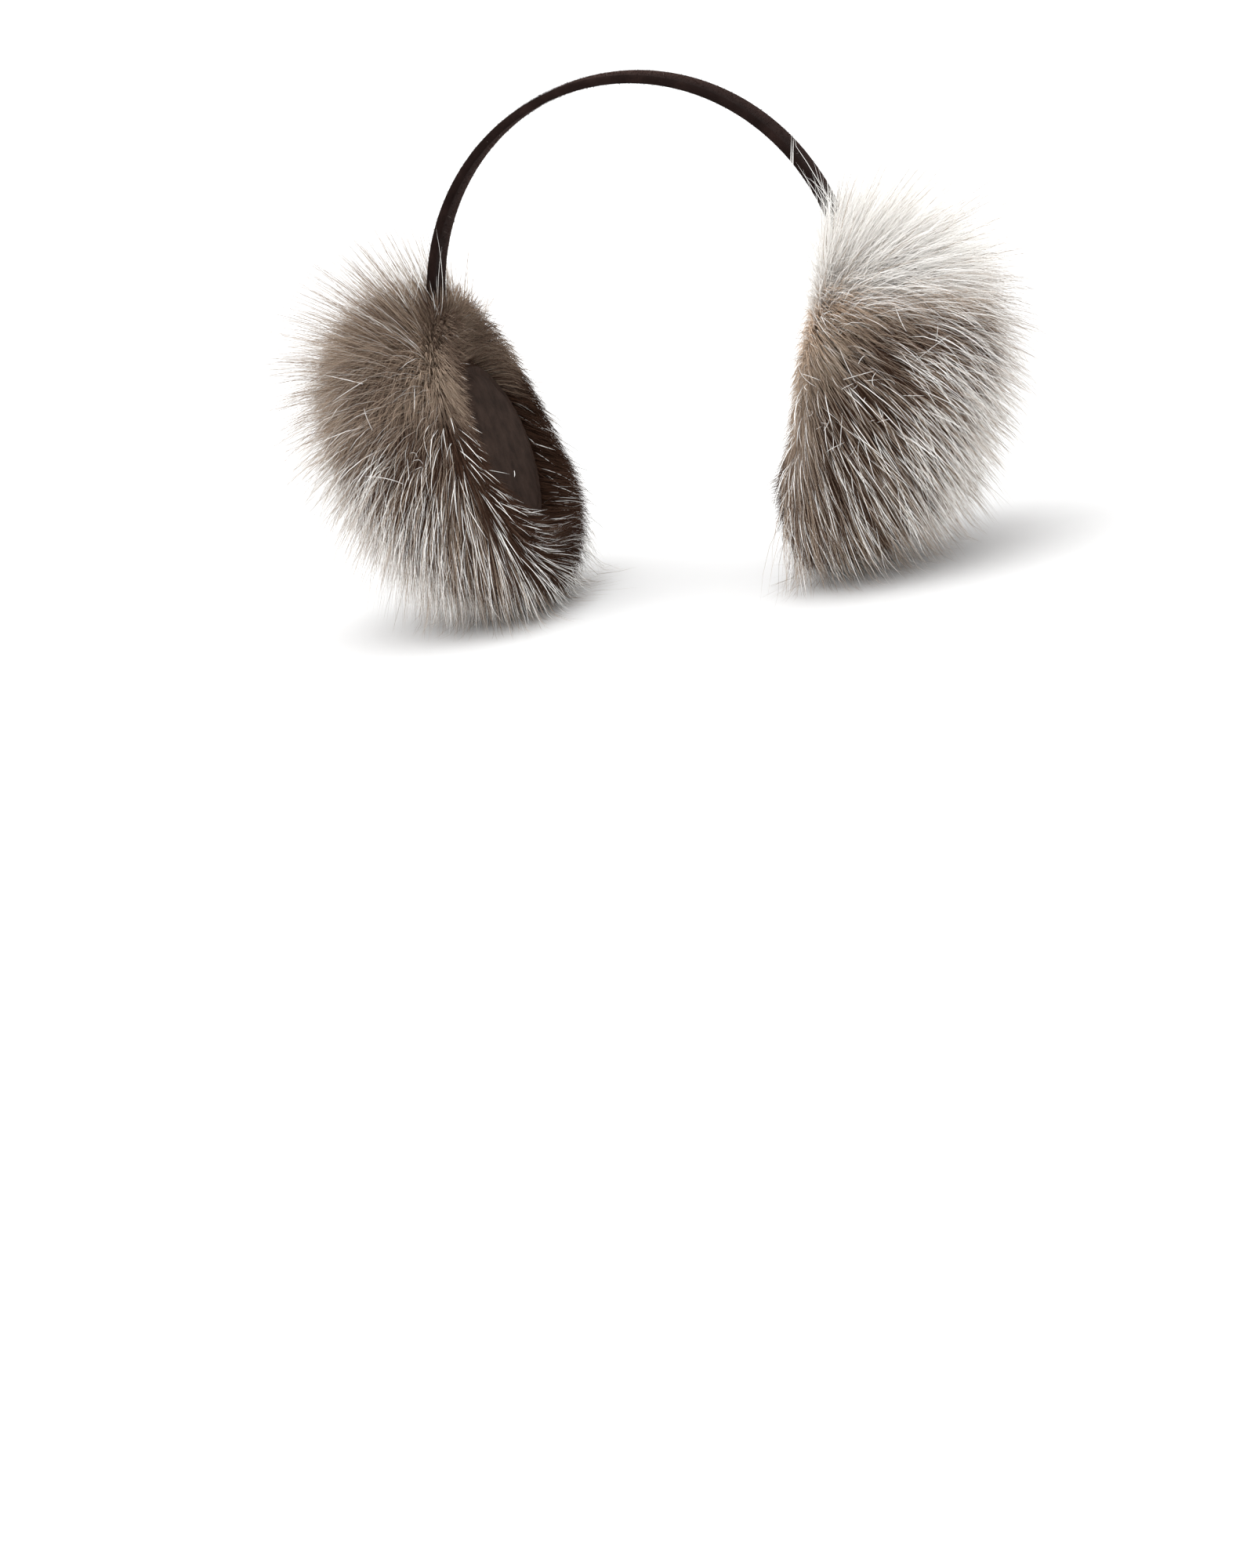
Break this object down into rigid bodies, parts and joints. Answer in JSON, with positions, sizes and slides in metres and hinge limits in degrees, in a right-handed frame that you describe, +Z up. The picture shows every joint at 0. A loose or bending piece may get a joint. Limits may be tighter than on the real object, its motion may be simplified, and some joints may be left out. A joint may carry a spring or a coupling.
{
  "type": "fur earmuffs",
  "caption": "Earmuffs with a thin velvet-covered spring band arched over the head and a round, leaning pad of long silver-brown fur at each end, with a plain cloth ear cushion inside.",
  "frame": {"origin": "on the floor under the middle of the earmuffs, midway between the two pads, front to back and side to side", "axes": "+Z up, +X towards the right pad as seen from the front, -Y the way the wearer faces"},
  "size_m": [0.2762, 0.1446, 0.2091],
  "materials": {
    "band_velvet": "matt velvet",
    "fur": "long soft fur, brown with silver-white guard hairs",
    "cushion_cloth": "matt brushed cloth"
  },
  "bodies": {
    "root": {"headband": "band_velvet", "fur_pad_left": "fur", "fur_pad_right": "fur", "ear_cushion_left": "cushion_cloth", "ear_cushion_right": "cushion_cloth"}
  },
  "joints": []
}
